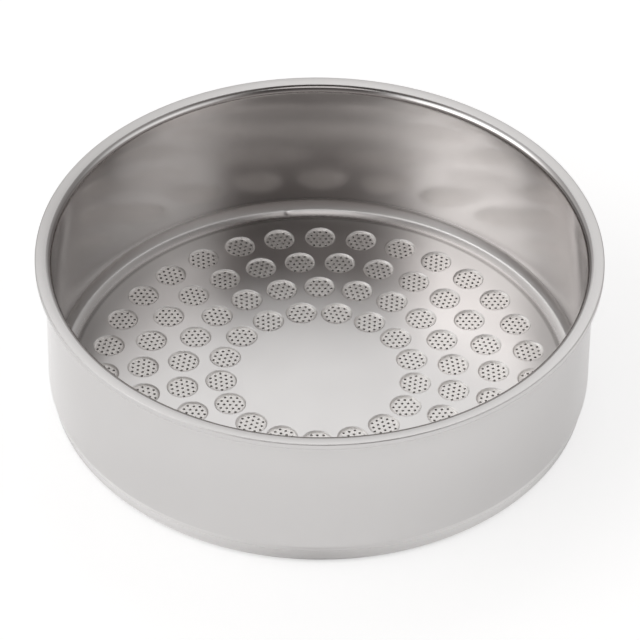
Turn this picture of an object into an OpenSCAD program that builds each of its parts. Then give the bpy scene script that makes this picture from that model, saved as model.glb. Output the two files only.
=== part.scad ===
/* [Wall] */
// Outer diameter of the straight wall
body_d = 57.8; // [50:0.1:72]
// Overall height, from the underside to the top of the lip
body_h = 18; // [12:0.5:40]
// Thickness of the drawn wall
wall_t = 0.7; // [0.4:0.05:1.2]

/* [Lip] */
// How far the lip stands out past the wall
lip_w = 1.1; // [0.6:0.05:6]
// Thickness of the lip
lip_t = 0.7; // [0.55:0.05:1.2]
// Radius of the bend where the wall turns out into the lip, measured inside
lip_bend = 0.8; // [0.3:0.05:1.6]
// Radius on the two outer edges of the lip
lip_edge = 0.25; // [0.05:0.05:0.25]
// Radius under the lip, where it leaves the wall
lip_fillet = 0.25; // [0.1:0.05:0.5]

/* [Floor] */
// Thickness of the floor between the recesses
floor_t = 0.8; // [0.5:0.05:1.2]
// Radius inside, between the wall and the floor
inner_fillet = 1.6; // [0.8:0.1:3]
// Radius outside, at the edge of the underside
outer_corner = 1.2; // [0.6:0.1:2]
// Height at which the wall starts to lean inwards towards the underside
foot_h = 2.7; // [2.2:0.1:5]
// How far the wall leans inwards below that height, in degrees
foot_angle = 13; // [4:1:20]

/* [Perforation] */
// Diameter of one hole
hole_d = 0.3; // [0.2:0.01:0.4]
// Distance between the centres of neighbouring holes
hole_pitch = 0.65; // [0.5:0.01:0.75]
// Holes from the middle of a recess to its corner, not counting the middle one
hole_steps = 2; // [1:1:2]
// Flat land between the outermost holes and the foot of the recess's side
hole_land = 0.06; // [0.02:0.01:0.2]
// Depth of a recess below the floor
recess_depth = 0.2; // [0.05:0.05:0.3]
// Width of the sloping side round a recess
recess_side = 0.19; // [0.05:0.01:0.4]

/* [Rings of recesses] */
// Number of rings
rings = 4; // [1:1:4]
// Recesses in the innermost ring
ring_first = 17; // [10:1:20]
// How many more recesses each ring has than the one inside it
ring_step = 5; // [3:1:7]
// Flat land between one ring and the next
ring_land = 0.82; // [0.4:0.02:1.2]
// Flat land between the outermost ring and the fillet at the wall
edge_land = 1.78; // [0.5:0.02:3]

/* [Hidden] */
// Faces on a full turn
$fn = 180;
// How far a cutting shape stands past the face that it cuts
past = 0.5;

body_r = body_d / 2;
bore_r = body_r - wall_t;
lip_r = body_r + lip_w;

// Foot: the lean starts at foot_h and runs, tangent, into the round corner
corner_x = body_r - (outer_corner + (foot_h - outer_corner) * sin(foot_angle)) / cos(foot_angle);
corner_end = [
    corner_x + outer_corner * cos(foot_angle),
    outer_corner - outer_corner * sin(foot_angle)
];

// One recess: its flat round floor, and its mouth after the sloping side
recess_floor_d = 2 * hole_steps * hole_pitch + hole_d + 2 * hole_land;
recess_d = recess_floor_d + 2 * recess_side;
recess_z = floor_t - recess_depth;

// Rings, counted from the innermost, are laid out inwards from the fillet
flat_r = bore_r - inner_fillet;
outer_ring_r = flat_r - edge_land - recess_d / 2;
ring_pitch = recess_d + ring_land;
function ring_r(k) = outer_ring_r - (rings - 1 - k) * ring_pitch;
// Neighbours in a ring keep a third of the land that the rings have between them
function ring_room(r) = floor(180 / asin((recess_d + ring_land / 3) / 2 / r));
function ring_count(k) = min(ring_first + ring_step * k, ring_room(ring_r(k)));

// Section of everything inside the outer surface of the wall and foot
module outer_section() {
    polygon([
        [0, 0],
        [corner_x, 0],
        corner_end,
        [body_r, foot_h],
        [body_r, body_h - lip_t / 2],
        [0, body_h - lip_t / 2]
    ]);
    translate([corner_x, outer_corner])
        circle(outer_corner);
}

// Section of the lip, its two outer edges rounded, with the small fillet under it
module lip_section() {
    low = body_h - lip_t;
    translate([0, low + lip_edge])
        square([lip_r, lip_t - 2 * lip_edge]);
    translate([0, low])
        square([lip_r - lip_edge, lip_t]);
    for (z = [low + lip_edge, body_h - lip_edge])
        translate([lip_r - lip_edge, z])
            circle(lip_edge);
    difference() {
        translate([bore_r, low - lip_fillet])
            square([wall_t + lip_fillet, lip_fillet + lip_edge]);
        translate([body_r + lip_fillet, low - lip_fillet])
            circle(lip_fillet);
    }
}

// Section of the space inside, from the floor up past the lip
module cavity_section() {
    translate([0, floor_t])
        square([flat_r, body_h]);
    translate([0, floor_t + inner_fillet])
        square([bore_r, body_h]);
    translate([flat_r, floor_t + inner_fillet])
        circle(inner_fillet);
    difference() {
        translate([0, body_h - lip_bend])
            square([bore_r + lip_bend, lip_bend + past]);
        translate([bore_r + lip_bend, body_h - lip_bend])
            circle(lip_bend);
    }
}

module pan() {
    rotate_extrude()
        difference() {
            union() {
                outer_section();
                lip_section();
            }
            cavity_section();
        }
}

// Tool for one recess: a shallow cone that carries on past the face of the floor
module recess() {
    reach = recess_depth + past;
    translate([0, 0, recess_z])
        cylinder(
            h = reach,
            d1 = recess_floor_d,
            d2 = recess_floor_d + 2 * recess_side * reach / recess_depth
        );
}

// Places its children at every recess, each ring starting at the front
module at_recesses() {
    for (k = [0 : rings - 1])
        for (i = [0 : ring_count(k) - 1])
            rotate(i * 360 / ring_count(k) - 90)
                translate([ring_r(k), 0, 0])
                    children();
}

module basket() {
    color("silver")
        difference() {
            pan();
            at_recesses() recess();
        }
}

basket();
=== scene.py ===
"""Looks of the espresso filter basket: one shell drawn from stainless sheet.

The shell is a single closed mesh in the CAD frame. Its wall and lip are a section turned about Z.
Its floor carries rings of shallow coined recesses, each with a hexagon of fine holes right through.
Sizes are in millimetres, and are turned into metres only where a mesh or a view is handed to Blender.
"""

import math

import bpy
import numpy as np
from mathutils import Matrix, Vector
from mathutils.geometry import delaunay_2d_cdt


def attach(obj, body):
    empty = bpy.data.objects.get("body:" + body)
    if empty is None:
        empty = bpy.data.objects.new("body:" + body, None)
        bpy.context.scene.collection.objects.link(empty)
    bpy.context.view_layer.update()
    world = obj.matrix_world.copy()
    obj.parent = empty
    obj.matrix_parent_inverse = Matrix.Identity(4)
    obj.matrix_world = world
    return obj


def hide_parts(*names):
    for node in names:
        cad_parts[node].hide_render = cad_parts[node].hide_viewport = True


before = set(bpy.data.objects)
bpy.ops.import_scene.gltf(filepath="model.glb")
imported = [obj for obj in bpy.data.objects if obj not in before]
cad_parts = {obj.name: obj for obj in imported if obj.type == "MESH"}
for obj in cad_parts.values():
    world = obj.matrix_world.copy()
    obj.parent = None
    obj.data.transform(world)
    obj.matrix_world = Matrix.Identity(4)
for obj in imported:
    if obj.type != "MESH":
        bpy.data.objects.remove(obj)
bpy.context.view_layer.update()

MM = 0.001

# Wall and floor
BODY_R = 28.9
BODY_H = 18.0
WALL_T = 0.7
BORE_R = BODY_R - WALL_T
FLOOR_T = 0.8
INNER_FILLET = 1.6
FLAT_R = BORE_R - INNER_FILLET

# Lip
LIP_R = 30.0
LIP_T = 0.7
LIP_BEND = 0.8
LIP_TILT = math.radians(6)
LIP_EDGE = 0.12
LIP_FILLET = 0.25

# The bend inside, as its shine shows it: a wide arc up to a first angle, a tight one up to a steep
# slope, and a last arc into the wall
WIDE_ARC = 2.5
WIDE_ANGLE = math.radians(23)
TIGHT_ARC = 0.35
SLOPE_ANGLE = math.radians(60)
LAST_ARC = 0.5

# Foot, how far the rounded step at its top goes in and down, and where the wall's even rings of
# points end above that step
OUTER_CORNER = 1.2
FOOT_H = 2.7
FOOT_ANGLE = math.radians(13)
STEP_IN = 0.05
STEP_DOWN = 0.16
WALL_END = FOOT_H + 0.3

# Holes
HOLE_R = 0.15
HOLE_PITCH = 0.65
HOLE_STEPS = 2

# Recesses, and the flat collar by which each is set into the floor
RECESS_FLOOR_R = 1.51
RECESS_SIDE = 0.19
RECESS_R = RECESS_FLOOR_R + RECESS_SIDE
RECESS_DEPTH = 0.2
RECESS_Z = FLOOR_T - RECESS_DEPTH
COLLAR = 0.05

# Rings of recesses, laid out inwards from the bend
RINGS = 4
RING_FIRST = 17
RING_STEP = 5
RING_LAND = 0.82
EDGE_LAND = 1.78
RING_PITCH = 2 * RECESS_R + RING_LAND
OUTER_RING_R = FLAT_R - EDGE_LAND - RECESS_R

# Nick in the bend inside: turn about Z, radius of its middle, half its size around and across,
# depth, and how high above the floor it may reach
NICK_TURN = math.radians(97.6)
NICK_R = 27.4
NICK_HALF = (0.6, 0.45)
NICK_DEPTH = 0.06
NICK_RISE = 0.8

# Mesh fineness, and the radius at which the turned pan meets the flat floor
TURN_STEPS = 300
NICK_STEPS = 9
HOLE_SIDES = 12
RECESS_SIDES = 36
SEAM_R = FLAT_R - EDGE_LAND / 2
SEAM_INSET = 0.15
SHARP_ANGLE = math.radians(38)


def arc(centre, radius, start, end, count):
    """Points (r, z) on a circle about centre, from angle start to end in degrees, both ends included."""
    angle = np.radians(np.linspace(start, end, count))
    return np.c_[centre[0] + radius * np.cos(angle), centre[1] + radius * np.sin(angle)]


def upright(radius, start, end, count):
    """Points (r, z) at one radius, evenly from height start to height end, both ends included."""
    return np.c_[np.full(count, radius), np.linspace(start, end, count)]


def inner_bend():
    """Points (r, z) of the bend inside, from the flat floor up to the upright wall.

    A wide arc turns up to WIDE_ANGLE and a tight one on to SLOPE_ANGLE. A straight slope follows, and a
    last arc ends upright at BORE_R. Each is tangent to both neighbours.
    """
    wide, slope = math.degrees(WIDE_ANGLE), math.degrees(SLOPE_ANGLE)
    first = arc((FLAT_R, FLOOR_T + WIDE_ARC), WIDE_ARC, -90, wide - 90, 8)
    centre = first[-1] + TIGHT_ARC * np.array([-math.sin(WIDE_ANGLE), math.cos(WIDE_ANGLE)])
    tight = arc(centre, TIGHT_ARC, wide - 90, slope - 90, 5)[1:]
    slope_top = tight[-1, 1] + (BORE_R - tight[-1, 0]) * math.tan(SLOPE_ANGLE)
    upright_z = slope_top + LAST_ARC * math.tan((math.pi / 2 - SLOPE_ANGLE) / 2)
    last = arc((BORE_R - LAST_ARC, upright_z), LAST_ARC, slope - 90, 0, 5)
    on_slope = [tight[-1] + (last[0] - tight[-1]) * share for share in (0.15, 0.85)]
    return np.vstack([first, tight, on_slope, last])


def foot_step():
    """Points (r, z) of the rounded step at the top of the foot, from the wall down to the lean.

    It rounds out of the wall, falls STEP_IN inwards over STEP_DOWN and rounds into the lean.
    """
    low = FOOT_H - STEP_DOWN
    inner = BODY_R - STEP_IN - STEP_DOWN * math.tan(FOOT_ANGLE)
    return [
        (BODY_R, FOOT_H + 0.12),
        (BODY_R - 0.008, FOOT_H + 0.03),
        (BODY_R - 0.03, FOOT_H - 0.06),
        (inner + 0.012, low + 0.03),
        (inner, low - 0.04),
    ]


def pan_section():
    """Section (r, z) of the pan: from the floor's seam up the inside, over the lip and down the outside.

    Straight stretches are joined by arcs that are tangent to both neighbours. The outside leans in
    below FOOT_H by FOOT_ANGLE. The top of the lip falls inwards by LIP_TILT.
    """
    sin_lean, cos_lean = math.sin(FOOT_ANGLE), math.cos(FOOT_ANGLE)
    corner_x = BODY_R - (OUTER_CORNER + (FOOT_H - OUTER_CORNER) * sin_lean) / cos_lean
    lean, tilt = math.degrees(FOOT_ANGLE), math.degrees(LIP_TILT)
    lip_low = BODY_H - LIP_T
    run = LIP_R - LIP_EDGE - BORE_R - LIP_BEND
    fall = (LIP_BEND - LIP_EDGE) / math.cos(LIP_TILT) + run * math.tan(LIP_TILT)
    bend_z = BODY_H - LIP_EDGE - fall
    bend = inner_bend()
    parts = [
        [(SEAM_R, FLOOR_T), (FLAT_R - SEAM_INSET, FLOOR_T)],
        bend,
        upright(BORE_R, bend[-1, 1], bend_z, 9)[1:-1],
        arc((BORE_R + LIP_BEND, bend_z), LIP_BEND, 180, 90 + tilt, 9),
        arc((LIP_R - LIP_EDGE, BODY_H - LIP_EDGE), LIP_EDGE, 90 + tilt, 0, 5),
        arc((LIP_R - LIP_EDGE, lip_low + LIP_EDGE), LIP_EDGE, 0, -90, 4),
        arc((BODY_R + LIP_FILLET, lip_low - LIP_FILLET), LIP_FILLET, 90, 180, 4),
        upright(BODY_R, lip_low - LIP_FILLET, WALL_END, 6)[1:],
        foot_step(),
        arc((corner_x, OUTER_CORNER), OUTER_CORNER, -lean, -90, 8),
        [(corner_x - SEAM_INSET, 0), (SEAM_R, 0)],
    ]
    return np.vstack([np.asarray(part, float) for part in parts])


def turned(section, turn):
    """Points (len(turn), len(section), 3) of a section turned about Z to every angle in turn."""
    r, z = section[:, 0], section[:, 1]
    grid = np.empty((len(turn), len(section), 3))
    grid[..., 0] = np.cos(turn)[:, None] * r
    grid[..., 1] = np.sin(turn)[:, None] * r
    grid[..., 2] = z
    return grid


def turn_angles():
    """Angles about Z of the pan's columns: even steps from the front, and a few more at the nick."""
    even = np.arange(TURN_STEPS) * 2 * np.pi / TURN_STEPS - np.pi / 2
    near_nick = NICK_TURN + np.linspace(-1.25, 1.25, NICK_STEPS) * NICK_HALF[0] / NICK_R
    return np.unique(np.round(np.r_[even, near_nick], 5))


def nicked(grid):
    """The turned points with one small nick in the bend at the back, just left of the middle.

    It is a hollow like a low pyramid: its depth falls evenly to nothing with the distance round the
    bend and across it, and it goes down and outwards, into the metal.
    """
    radius, z = np.hypot(grid[..., 0], grid[..., 1]), grid[..., 2]
    around = (np.arctan2(grid[..., 1], grid[..., 0]) - NICK_TURN) * radius
    fall = 1 - np.abs(around) / NICK_HALF[0] - np.abs(radius - NICK_R) / NICK_HALF[1]
    inside = (z > FLOOR_T / 2) & (z < FLOOR_T + NICK_RISE)
    depth = NICK_DEPTH * np.clip(fall, 0, 1) * inside
    moved = grid.copy()
    moved[..., :2] *= (1 + depth / radius)[..., None]
    moved[..., 2] -= depth
    return moved


def circle(radius, sides, phase=0.0):
    """Points (sides, 2) evenly round a circle about the origin, anticlockwise."""
    angle = phase + np.arange(sides) * 2 * np.pi / sides
    return radius * np.c_[np.cos(angle), np.sin(angle)]


def hole_centres():
    """Centres (n, 2) of a hexagonal lattice out to HOLE_STEPS, with a row of holes along the second axis."""
    i, j = np.meshgrid(*[np.arange(-HOLE_STEPS, HOLE_STEPS + 1)] * 2, indexing="ij")
    i, j = i.ravel(), j.ravel()
    inside = np.abs(i + j) <= HOLE_STEPS
    i, j = i[inside], j[inside]
    return HOLE_PITCH * np.c_[i * math.sqrt(3) / 2, j + i / 2]


def recess_places():
    """For each recess its turn about Z (n,) and its centre's radius (n,), ring by ring from the front."""
    turns, radii = [], []
    for k in range(RINGS):
        count = RING_FIRST + RING_STEP * k
        turns.append(np.arange(count) * 2 * np.pi / count - np.pi / 2)
        radii.append(np.full(count, OUTER_RING_R - (RINGS - 1 - k) * RING_PITCH))
    return np.concatenate(turns), np.concatenate(radii)


def placed(local, turns, radii):
    """Local points (m, 2) of a recess, whose first axis points outwards, set at every place: (n, m, 2)."""
    x = local[None, :, 0] + radii[:, None]
    y = local[None, :, 1]
    cos, sin = np.cos(turns)[:, None], np.sin(turns)[:, None]
    return np.stack([cos * x - sin * y, sin * x + cos * y], -1)


def at_height(points, z):
    """Flat points (..., 2) raised to a height, which may be one number or an array that broadcasts."""
    height = np.broadcast_to(z, points.shape[:-1])
    return np.concatenate([points, height[..., None]], -1)


def recess_sides(turns, radii):
    """Rings of points (n, levels, sides, 3) down the side of every recess.

    A flat collar comes first, then half a cosine wave from the mouth down to the recess's floor.
    """
    fall = np.linspace(0, 1, 5)
    level_r = np.r_[RECESS_R + COLLAR, RECESS_R - RECESS_SIDE * fall]
    level_z = np.r_[FLOOR_T, FLOOR_T - RECESS_DEPTH * (1 - np.cos(np.pi * fall)) / 2]
    levels = [
        at_height(placed(circle(r, RECESS_SIDES), turns, radii), z)
        for r, z in zip(level_r, level_z)
    ]
    return np.stack(levels, 1)


def sheet_between(outer, loops):
    """Triangles that fill the space inside loop outer (m, 2) and outside the round loops (n, k, 2).

    They index the points of outer followed by those of loops, and face up. A triangle with all three
    corners on one round loop lies inside that hole and is dropped.
    """
    points = np.vstack([outer, loops.reshape(-1, 2)])
    m, (n, k) = len(outer), loops.shape[:2]
    owner = np.r_[np.full(m, -1), np.repeat(np.arange(n), k)]
    first = np.arange(len(points))
    after = first + 1
    after[m - 1] = 0
    after[m + k - 1::k] = m + np.arange(n) * k
    edges = np.c_[first, after].tolist()
    result = delaunay_2d_cdt([Vector(p) for p in points.tolist()], edges, [], 1, 1e-7)
    source = np.array([ids[0] for ids in result[3]])
    corners = source[np.array(result[2])]
    owners = owner[corners]
    filled = (owners[:, 0] == owners[:, 1]) & (owners[:, 1] == owners[:, 2]) & (owners[:, 0] >= 0)
    return corners[~filled]


class Skin:
    """Gathers patches of points and faces, and welds the points that patches share."""

    def __init__(self):
        self.points, self.faces, self.count = [], [], 0

    def patch(self, points, faces, flip=False):
        """Adds points (..., 3) and faces (m, 3 or 4) that index them; flip turns the faces over."""
        faces = np.asarray(faces)
        self.faces.append((faces[:, ::-1] if flip else faces) + self.count)
        self.points.append(points.reshape(-1, 3))
        self.count += self.points[-1].shape[0]

    def bands(self, loops, flip=False):
        """Joins neighbouring closed loops (n, levels, sides, 3) of each of n stacks with quads.

        Where the loops run anticlockwise and the levels go down, the quads face the stack's axis.
        """
        n, levels, sides = loops.shape[:3]
        index = np.arange(n * levels * sides).reshape(n, levels, sides)
        after = np.roll(index, -1, axis=2)
        quads = [index[:, :-1], after[:, :-1], after[:, 1:], index[:, 1:]]
        self.patch(loops, np.stack(quads, -1).reshape(-1, 4), flip)

    def mesh(self, name):
        """One mesh in metres, its shared points welded and its faces smooth up to a sharp angle."""
        points = np.vstack(self.points)
        _, first, weld = np.unique(np.round(points, 6), axis=0, return_index=True, return_inverse=True)
        faces = [face for patch in self.faces for face in weld.ravel()[patch].tolist()]
        mesh = bpy.data.meshes.new(name)
        mesh.from_pydata((points[first] * MM).tolist(), [], faces)
        mesh.polygons.foreach_set("use_smooth", np.ones(len(mesh.polygons), bool))
        mesh.set_sharp_from_angle(angle=SHARP_ANGLE)
        mesh.update()
        return mesh


def basket_mesh():
    """The whole shell: turned pan, flat floor round the recesses, recesses, holes and underside."""
    skin = Skin()
    pan = nicked(turned(pan_section(), turn_angles()))
    skin.bands(pan.transpose(1, 0, 2)[None], flip=True)
    seam = pan[:, 0, :2]

    turns, radii = recess_places()
    side = recess_sides(turns, radii)
    skin.bands(side)
    collars, foot = side[:, 0, :, :2], side[:, -1, :, :2]
    floor = np.vstack([seam, collars.reshape(-1, 2)])
    skin.patch(at_height(floor, FLOOR_T), sheet_between(seam, collars))

    # Floor of one recess, then the same sheet at every place, and once more on the underside
    rim = circle(RECESS_FLOOR_R, RECESS_SIDES)
    holes = hole_centres()[:, None] + circle(HOLE_R, HOLE_SIDES, np.pi / HOLE_SIDES)
    sheet = sheet_between(rim, holes)
    local = np.vstack([rim, holes.reshape(-1, 2)])
    spread = placed(local, turns, radii)
    copies = (sheet[None] + np.arange(len(turns))[:, None, None] * len(local)).reshape(-1, 3)
    skin.patch(at_height(spread, RECESS_Z), copies)
    skin.patch(at_height(spread, 0.0), copies, flip=True)

    bores = spread[:, RECESS_SIDES:].reshape(-1, HOLE_SIDES, 2)
    skin.bands(np.stack([at_height(bores, RECESS_Z), at_height(bores, 0.0)], 1))

    under = np.vstack([seam, foot.reshape(-1, 2)])
    skin.patch(at_height(under, 0.0), sheet_between(seam, foot), flip=True)
    return skin.mesh("basket_shell")


class Value:
    """A shader socket that takes part in Python sums, each of which adds a Math node."""

    def __init__(self, tree, socket):
        self.tree, self.socket = tree, socket

    def _math(self, operation, first, second):
        return self.tree.node("ShaderNodeMath", {"operation": operation}, {0: first, 1: second}).out(0)

    def __add__(self, other):
        return self._math("ADD", self, other)

    def __sub__(self, other):
        return self._math("SUBTRACT", self, other)

    def __rsub__(self, other):
        return self._math("SUBTRACT", other, self)

    def __mul__(self, other):
        return self._math("MULTIPLY", self, other)

    def __truediv__(self, other):
        return self._math("DIVIDE", self, other)

    def power(self, other):
        return self._math("POWER", self, other)

    def angle(self, other):
        """Angle of the point (other, self) about the origin, from -pi to pi."""
        return self._math("ARCTAN2", self, other)

    def over(self, low, high):
        """0 below low, 1 above high and a smooth rise between them."""
        return self.tree.node(
            "ShaderNodeMapRange",
            {"interpolation_type": "SMOOTHSTEP"},
            {"Value": self, "From Min": low, "From Max": high},
        ).out("Result")

    def under(self, low, high):
        """1 below low, 0 above high and a smooth fall between them."""
        return 1.0 - self.over(low, high)

    __radd__ = __add__
    __rmul__ = __mul__


class Node:
    """A node in a Tree; out gives one of its outputs as a Value."""

    def __init__(self, tree, node):
        self.tree, self.node = tree, node

    def out(self, name):
        return Value(self.tree, self.node.outputs[name])


class Tree:
    """Adds nodes to a material's or the world's node tree."""

    def __init__(self, owner):
        owner.use_nodes = True
        self.nodes, self.links = owner.node_tree.nodes, owner.node_tree.links
        self.nodes.clear()

    def node(self, kind, settings=None, sockets=None):
        """Adds a node: its settings come first (stops for a ramp), then values or links of its sockets."""
        node = self.nodes.new(kind)
        for name, value in (settings or {}).items():
            if name == "stops":
                ramp = node.color_ramp
                ramp.interpolation = "EASE"
                while len(ramp.elements) < len(value):
                    ramp.elements.new(0.5)
                for element, (place, colour) in zip(ramp.elements, value):
                    element.position, element.color = place, colour
            else:
                setattr(node, name, value)
        for name, value in (sockets or {}).items():
            if isinstance(value, Value):
                self.links.new(value.socket, node.inputs[name])
            else:
                node.inputs[name].default_value = value
        return Node(self, node)

    def mix(self, factor, first, second):
        """Colour that goes from first to second as factor goes from 0 to 1."""
        mixed = self.node(
            "ShaderNodeMix",
            {"data_type": "RGBA", "clamp_factor": True},
            {0: factor, 6: first, 7: second},
        )
        return mixed.out(2)

    def xyz(self, vector):
        """The three parts of a vector, each as a Value."""
        split = self.node("ShaderNodeSeparateXYZ", None, {0: vector})
        return split.out(0), split.out(1), split.out(2)

    def vector(self, x, y, z):
        return self.node("ShaderNodeCombineXYZ", None, {0: x, 1: y, 2: z}).out(0)

    def place(self):
        """Object coordinates: as they are, in metres, then x, y, z and the distance from Z in mm."""
        here = self.node("ShaderNodeTexCoord").out("Object")
        x, y, z = (part / MM for part in self.xyz(here))
        return here, x, y, z, (x * x + y * y).power(0.5)

    def noise(self, vector, scale, detail, rough):
        sockets = {"Vector": vector, "Scale": scale, "Detail": detail, "Roughness": rough}
        return self.node("ShaderNodeTexNoise", None, sockets).out(0)


# Tints of the steel. The last five are painted shade: darker tints that stand for dark reflections
DARK_SHEET = (0.60, 0.592, 0.588, 1)
LIGHT_SHEET = (0.72, 0.712, 0.708, 1)
WARM_WALL = (0.60, 0.56, 0.545, 1)
PALE_RECESS = (0.88, 0.865, 0.85, 1)
BEND_SHADE = (0.20, 0.185, 0.18, 1)
BACK_SHADE = (0.28, 0.25, 0.24, 1)
FLOOR_EDGE_SHADE = (0.34, 0.335, 0.33, 1)
DARK_LINE = (0.22, 0.21, 0.205, 1)
LIP_BACK_SHADE = (0.30, 0.29, 0.285, 1)


class Zones:
    """Where each finish and each patch of painted shade of the basket lies: 1 there, 0 elsewhere, and a fade
    between, placed in mm.
    """

    def __init__(self, x, y, z, radius):
        self.x = x
        # 0 on the flat underside, 1 from just above it
        above = z.over(0.02, 0.06)
        # 0 at the front and the back, 1 at both sides
        across = x * x / (radius * radius)

        # The wall and the lip: all but the flat floor
        self.wall = radius.over(FLAT_R - 0.2, FLAT_R + 0.2)
        # The inside of the wall, its low part, and the low part at the middle of the back, which carries
        # painted shade
        self.inner_wall = (
            self.wall
            * radius.under(BORE_R + 0.1, BORE_R + 0.3)
            * z.over(FLOOR_T + 0.2, FLOOR_T + 1.2)
        )
        self.low_wall = self.inner_wall * z.under(9, 14)
        self.low_back = self.inner_wall * z.under(7, 13) * across.under(0.07, 0.24) * y.over(0, 10)

        # The top of the lip, and its back, which carries a painted dark reflection
        self.lip_top = radius.over(BORE_R + 0.55, BORE_R + 0.75) * z.over(BODY_H - 0.8, BODY_H - 0.6)
        self.lip_back = self.lip_top * y.over(-16, 10)
        # The bend into the lip, where a dark reflection is painted on as shade: at the middle of the back
        # and at both sides
        lip_bend = radius.over(BORE_R + 0.05, BORE_R + 0.25) * z.over(BODY_H - 1.2, BODY_H - 0.8)
        shade_places = (across.under(0.02, 0.10) + across.over(0.5, 0.85) * 0.9) * y.over(-12, 4)
        self.shaded_bend = lip_bend * (1.0 - self.lip_top) * shade_places

        # The coined recesses, and all above their floors, which within them is their sides
        self.coined = (
            z.under(FLOOR_T - 0.06, FLOOR_T - 0.005)
            * radius.under(FLAT_R - 1.1, FLAT_R - 0.6)
            * above
        )
        self.recess_side = z.over(RECESS_Z, RECESS_Z + 0.02)

        # The floor's edge and the line that ends it, both with painted shade, and two stretches of the bend
        # inside
        self.floor_edge = (
            radius.over(FLAT_R - 4.6, FLAT_R - 1.0)
            * (1.0 - self.wall)
            * (1.0 - self.coined)
            * above
        )
        self.floor_line = (
            radius.over(FLAT_R - 0.5, FLAT_R - 0.2)
            * radius.under(FLAT_R, FLAT_R + 0.3)
            * z.under(FLOOR_T + 0.1, FLOOR_T + 0.2)
            * above
        )
        self.wide_arc = (
            radius.over(FLAT_R, FLAT_R + 0.4)
            * z.over(FLOOR_T - 0.2, FLOOR_T - 0.1)
            * z.under(FLOOR_T + 0.4, FLOOR_T + 0.8)
        )
        self.slope = (
            radius.over(BORE_R - 0.8, BORE_R - 0.5)
            * z.over(FLOOR_T + 0.1, FLOOR_T + 0.2)
            * z.under(2.0, 2.4)
        )


def steel_colour(tree, zones, lines, broad, cloud):
    """Rolled sheet between two tints, mottled by the noises, with each zone's tint laid over it. Five of
    these tints are painted shade.
    """
    drawn = ((broad - 0.5) * 0.10 + (lines - 0.5) * 0.06) * zones.wall
    colour = tree.mix(drawn + (cloud - 0.5) * 0.12 + 0.5, DARK_SHEET, LIGHT_SHEET)
    layers = [
        (zones.inner_wall * 0.5, WARM_WALL),
        (zones.coined, PALE_RECESS),
        # Painted shade: a dark reflection in the bend into the lip
        (zones.shaded_bend * 0.85, BEND_SHADE),
        # Painted shade: the low inside of the wall is darker at the back
        (zones.low_back * 0.42, BACK_SHADE),
        # Painted shade: the floor is darker towards the wall, more on the left
        (zones.floor_edge * (0.42 - zones.x * 0.008), FLOOR_EDGE_SHADE),
        # Painted shade: a dark line in the crease where the floor meets the bend
        (zones.floor_line * 0.6, DARK_LINE),
        # Painted shade: a dark reflection on the back of the lip, more on the left
        (zones.lip_back * (0.33 - zones.x * 0.004), LIP_BACK_SHADE),
    ]
    for share, tint in layers:
        colour = tree.mix(share, colour, tint)
    return colour


def steel_roughness(zones, lines, cloud):
    """Satin on the floor, brighter and drawn on the wall, matt in the recesses, dulled in the bend."""
    satin = (cloud - 0.5) * 0.10 + 0.31
    drawn = (lines - 0.5) * 0.06 * (1.0 - zones.lip_top) + zones.lip_top * 0.17 + 0.15
    matt = zones.recess_side * 0.15 + 0.50
    sheet = satin * (1.0 - zones.wall) + drawn * zones.wall + zones.low_wall * 0.05
    bend = zones.wide_arc * 0.14 + zones.slope * 0.15
    return sheet * (1.0 - zones.coined) + matt * zones.coined + bend


def steel_material():
    """Bright-rolled stainless sheet, satin on the floor, with fine draw lines up and down the wall."""
    material = bpy.data.materials.new("satin_stainless")
    tree = Tree(material)
    here, x, y, z, radius = tree.place()
    zones = Zones(x, y, z, radius)
    # Draw lines: noise that hardly changes with height
    around = tree.vector(x / radius, y / radius, z * 0.006)
    lines = tree.noise(around, 90.0, 3.0, 0.6)
    broad = tree.noise(around, 9.0, 2.0, 0.5)
    cloud = tree.noise(here, 220.0, 3.0, 0.55)
    height = (lines - 0.5) * zones.wall * (1.0 - zones.lip_top)
    bump = tree.node("ShaderNodeBump", None, {"Strength": 0.05, "Distance": 0.03 * MM, "Height": height})
    shader = tree.node(
        "ShaderNodeBsdfPrincipled",
        None,
        {
            "Base Color": steel_colour(tree, zones, lines, broad, cloud),
            "Metallic": 1.0,
            "Roughness": steel_roughness(zones, lines, cloud),
            "Normal": bump.out(0),
        },
    )
    tree.node("ShaderNodeOutputMaterial", None, {"Surface": shader.out(0)})
    return material


def basket():
    """The basket's one piece, in place of the solid's looks."""
    piece = bpy.data.objects.new("basket_shell", basket_mesh())
    bpy.context.collection.objects.link(piece)
    piece.data.materials.append(steel_material())
    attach(piece, "root")
    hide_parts("basket")
    return piece


# Camera: measured in the photograph, which is 640 pixels wide
IMAGE_PX = 640
SENSOR_MM = 36.0
VIEW_ELEVATION = math.radians(40.91)
VIEW_ROLL = math.radians(-0.731)
FOCAL_PX = 5074.0
MM_PER_PX = 0.10754
AIM_PX = (-1.03, -57.03)
CLIP_MM = (10.0, 20000.0)


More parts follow.
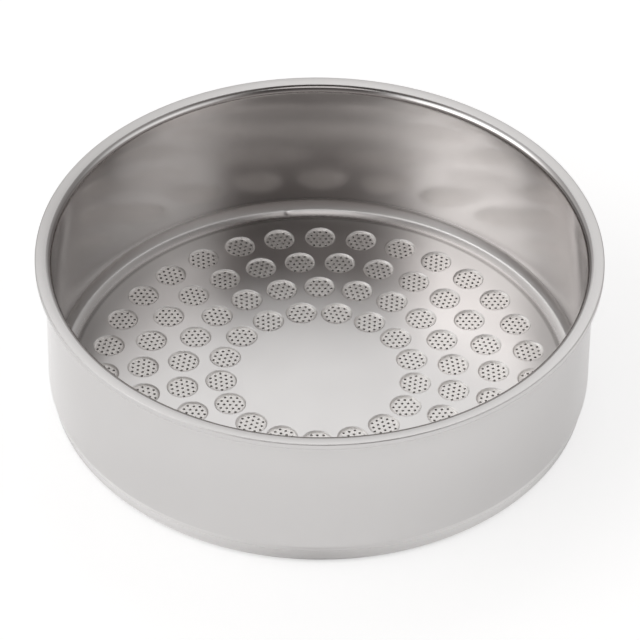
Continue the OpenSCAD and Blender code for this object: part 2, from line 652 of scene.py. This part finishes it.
def camera():
    """A long lens from the front, aimed so that the middle of the recesses' floors falls at AIM_PX."""
    right = Vector((1, 0, 0))
    ahead = Vector((0, math.cos(VIEW_ELEVATION), -math.sin(VIEW_ELEVATION)))
    up = right.cross(ahead)
    distance = FOCAL_PX * MM_PER_PX
    aim = Vector((0, 0, RECESS_Z))
    place = aim - distance * ahead - AIM_PX[0] * MM_PER_PX * right - AIM_PX[1] * MM_PER_PX * up
    cos, sin = math.cos(VIEW_ROLL), math.sin(VIEW_ROLL)
    turned_right = cos * right - sin * up
    turned_up = sin * right + cos * up
    data = bpy.data.cameras.new("camera")
    data.sensor_width = SENSOR_MM
    data.lens = FOCAL_PX * SENSOR_MM / IMAGE_PX
    data.clip_start, data.clip_end = CLIP_MM[0] * MM, CLIP_MM[1] * MM
    eye = bpy.data.objects.new("camera", data)
    turn = Matrix((turned_right, turned_up, -ahead)).transposed().to_4x4()
    eye.matrix_world = Matrix.Translation(place * MM) @ turn
    bpy.context.collection.objects.link(eye)
    bpy.context.scene.camera = eye


# Table: half its width, and the gap that keeps it off the underside
TABLE_HALF = 3000.0
TABLE_GAP = 0.02


def white_table():
    """What the camera sees is a white ground with a soft shadow, and what the metal sees is a pale table.

    Both are darker under the basket, where the holes look down on them: a painted shadow in the table's
    glow.
    """
    material = bpy.data.materials.new("white_table")
    tree = Tree(material)
    _, x, y, _, radius = tree.place()
    open_table = radius.over(26.5, 28.5)
    path = tree.node("ShaderNodeLightPath")

    shade = tree.node("ShaderNodeBsdfDiffuse", None, {"Color": (0.46, 0.46, 0.46, 1)})
    ground = tree.node("ShaderNodeEmission", None, {"Color": open_table * 0.44 + 0.24})
    seen = tree.node("ShaderNodeAddShader", None, {0: shade.out(0), 1: ground.out(0)})

    # Close to the front of the foot the metal sees it darker in the middle and lighter at both sides:
    # painted shade and light in the table's glow
    close = radius.under(29.2, 30.6) * y.under(-18, -6)
    beside = (x * x * y * y).power(0.5) / (radius * radius)
    lift = open_table * path.out("Is Glossy Ray") * (close * (beside * 0.76 - 0.22) + 0.28)
    pale = tree.node("ShaderNodeBsdfDiffuse", None, {"Color": (0.93, 0.93, 0.93, 1)})
    gleam = tree.node("ShaderNodeEmission", None, {"Color": lift})
    mirrored = tree.node("ShaderNodeAddShader", None, {0: pale.out(0), 1: gleam.out(0)})

    by_ray = {0: path.out("Is Camera Ray"), 1: mirrored.out(0), 2: seen.out(0)}
    shown = tree.node("ShaderNodeMixShader", None, by_ray)
    tree.node("ShaderNodeOutputMaterial", None, {"Surface": shown.out(0)})
    return material


def table():
    """A wide table top just under the basket."""
    mesh = bpy.data.meshes.new("table_top")
    corners = TABLE_HALF * np.array([(-1, -1), (1, -1), (1, 1), (-1, 1)])
    mesh.from_pydata((at_height(corners, -TABLE_GAP) * MM).tolist(), [], [(0, 1, 2, 3)])
    mesh.materials.append(white_table())
    top = bpy.data.objects.new("table_top", mesh)
    bpy.context.collection.objects.link(top)


# Room: its brightness over RING_GAIN at a height of 30 to 46 degrees, by compass angle from the left
# through the front, the right and the back, as shares of a full turn
RING_STOPS = [
    (0.0, 0.77), (0.092, 0.83), (0.128, 0.57), (0.164, 0.22), (0.194, 0.08), (0.333, 0.05),
    (0.361, 0.10), (0.394, 0.30), (0.431, 0.38), (0.528, 0.28), (0.611, 0.18), (0.68, 0.23),
    (0.75, 0.36), (0.833, 0.32), (0.917, 0.40), (1.0, 0.77),
]
RING_GAIN = 3.0
LOW_LIGHT = 0.33
TOP_LIGHT = 0.12
# Two soft round lamps, high behind the basket and high over the photographer: y and z of the direction,
# cosines of the angles at which each fades in and is full, and strength
LAMPS = [
    ((0.574, 0.819), (0.989, 0.996), 1.6),
    ((-0.276, 0.961), (0.970, 0.985), 1.9),
]
DIM_TINT = (1.06, 0.98, 0.95, 1)
BRIGHT_TINT = (1.0, 0.99, 0.985, 1)
WHITE = (1, 1, 1, 1)


def room():
    """A pale room: bright on the left, dark round the photographer in front and dim overhead.

    Bright metal shows all of it, while the camera itself sees plain white. Heights are written as the
    z of the direction, which is the sine of the angle above the horizon.
    """
    world = bpy.data.worlds.new("room")
    bpy.context.scene.world = world
    tree = Tree(world)
    x, y, z = tree.xyz(tree.node("ShaderNodeTexCoord").out("Generated"))
    compass = y.angle(x) / (2 * math.pi) + 0.5
    greys = [(place, (grey, grey, grey, 1)) for place, grey in RING_STOPS]
    ring = tree.node("ShaderNodeValToRGB", {"stops": greys}, {0: compass}).out(0) * RING_GAIN
    ring = ring * (1.0 - z.over(0.72, 0.86) * 0.5)
    top = z.over(0.88, 0.96)
    light = LOW_LIGHT + (ring - LOW_LIGHT) * z.over(0.30, 0.50)
    light = light * (1.0 - top) + top * TOP_LIGHT
    for (along, up), (edge, core), strength in LAMPS:
        light = light + (y * along + z * up).over(edge, core) * strength
    seen = tree.node("ShaderNodeLightPath").out("Is Camera Ray")
    tint = tree.mix(light.over(0.1, 0.7), DIM_TINT, BRIGHT_TINT)
    background = tree.node(
        "ShaderNodeBackground",
        None,
        {"Color": tree.mix(seen, tint, WHITE), "Strength": light * (1.0 - seen) + seen},
    )
    tree.node("ShaderNodeOutputWorld", None, {"Surface": background.out(0)})


camera()
room()
table()
basket()

scene = bpy.context.scene
scene.view_settings.view_transform = "Standard"
